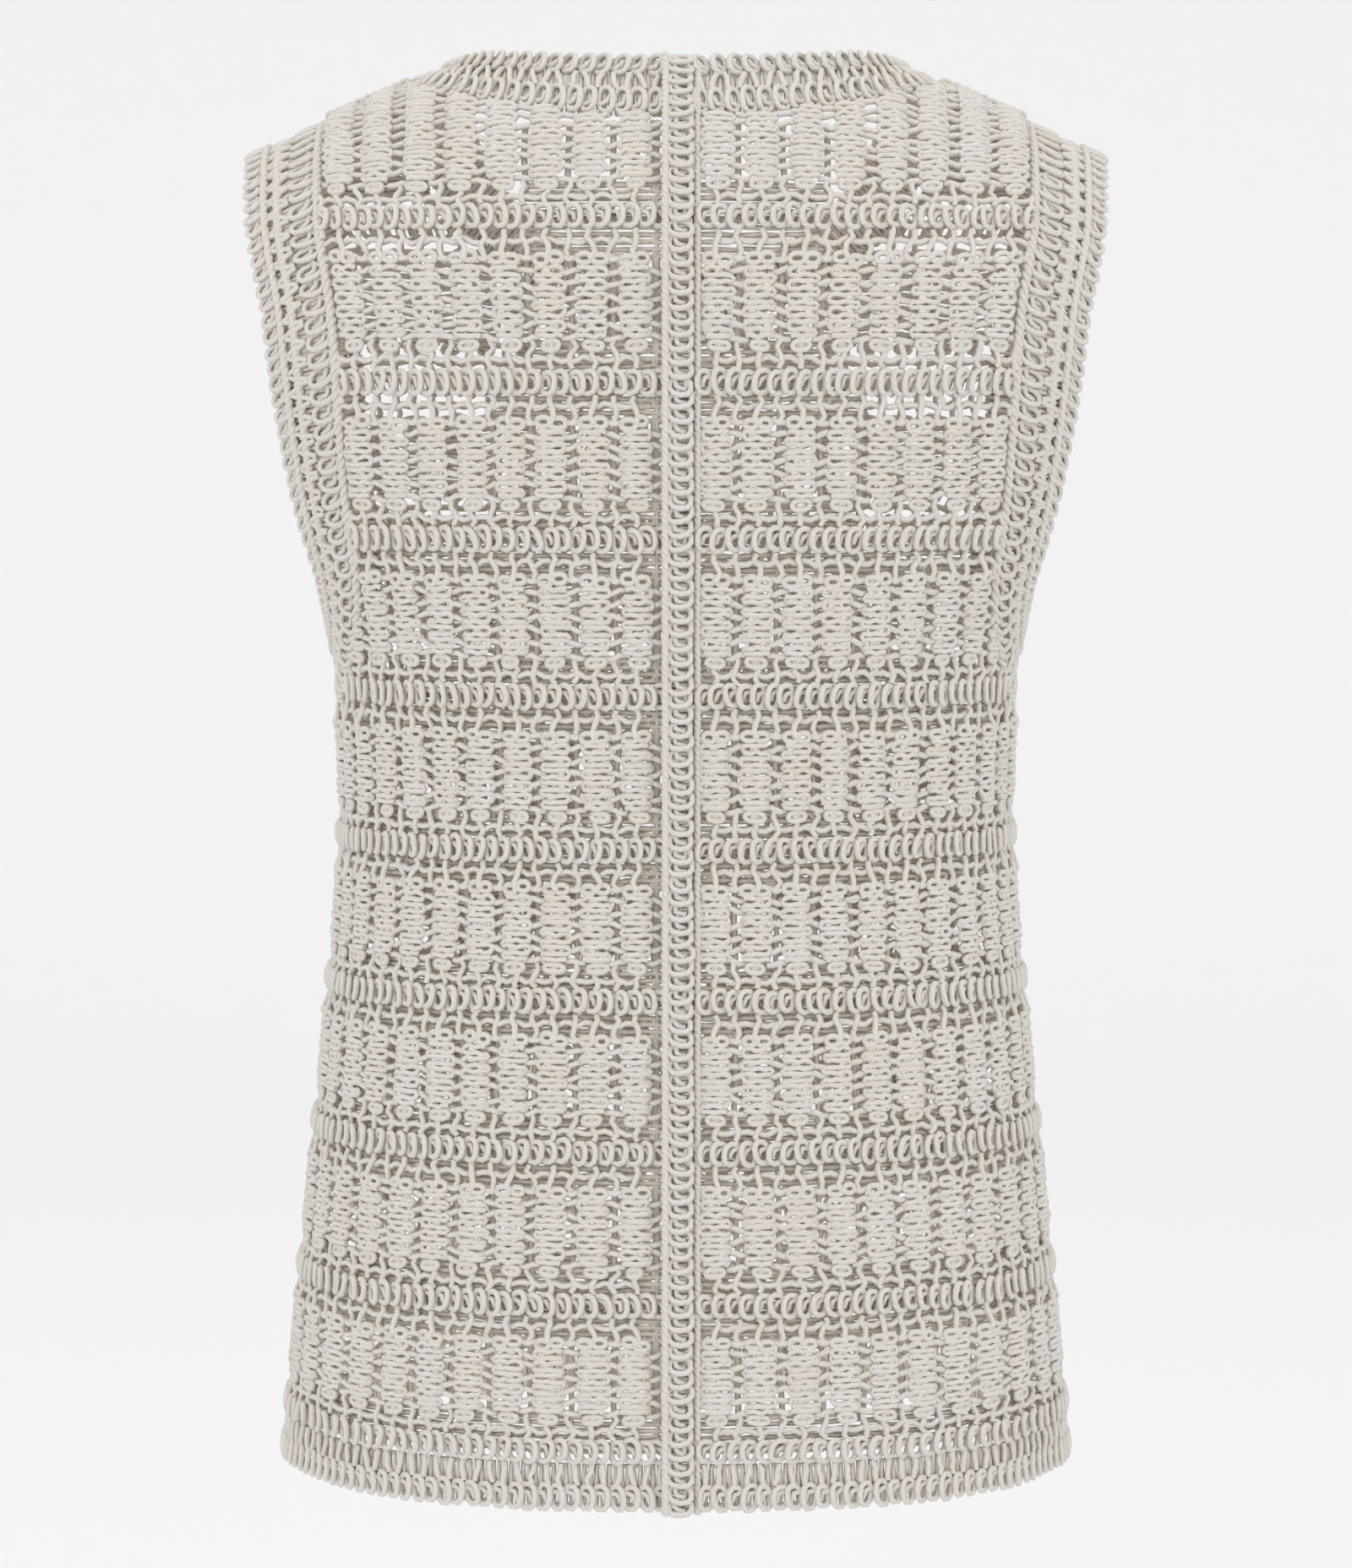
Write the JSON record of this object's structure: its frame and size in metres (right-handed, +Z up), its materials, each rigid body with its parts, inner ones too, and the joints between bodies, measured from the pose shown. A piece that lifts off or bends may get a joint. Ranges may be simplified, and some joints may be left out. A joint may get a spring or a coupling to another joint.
{
  "type": "sleeveless crochet top",
  "caption": "Sleeveless top crocheted from thick cotton cord, hollow and open as when worn, with a lapped centre-back band and ringed edgings at neck, armholes and hem",
  "frame": {"origin": "midway between the two high shoulder points, at the height of the shoulder seams, where the wearer's shoulders hold the top", "axes": "+Z up, +X towards the right as the back of the top is faced, the back towards -Y and the front towards +Y"},
  "size_m": [0.3956, 0.2643, 0.639],
  "materials": {
    "panel": "undyed two-ply cotton cord crocheted in columns of puffed stitches with open rows between, matt, faintly flecked",
    "band": "the same cotton cord in close rings with an open row between, matt"
  },
  "bodies": {
    "root": {"back_left": "panel", "back_right": "panel", "front": "panel", "centre_back_band": "band", "neck_band_back_left": "band", "neck_band_back_right": "band", "neck_band_front": "band", "armhole_band_left": "band", "armhole_band_right": "band", "hem_band_back_left": "band", "hem_band_back_right": "band", "hem_band_front": "band"}
  },
  "joints": []
}
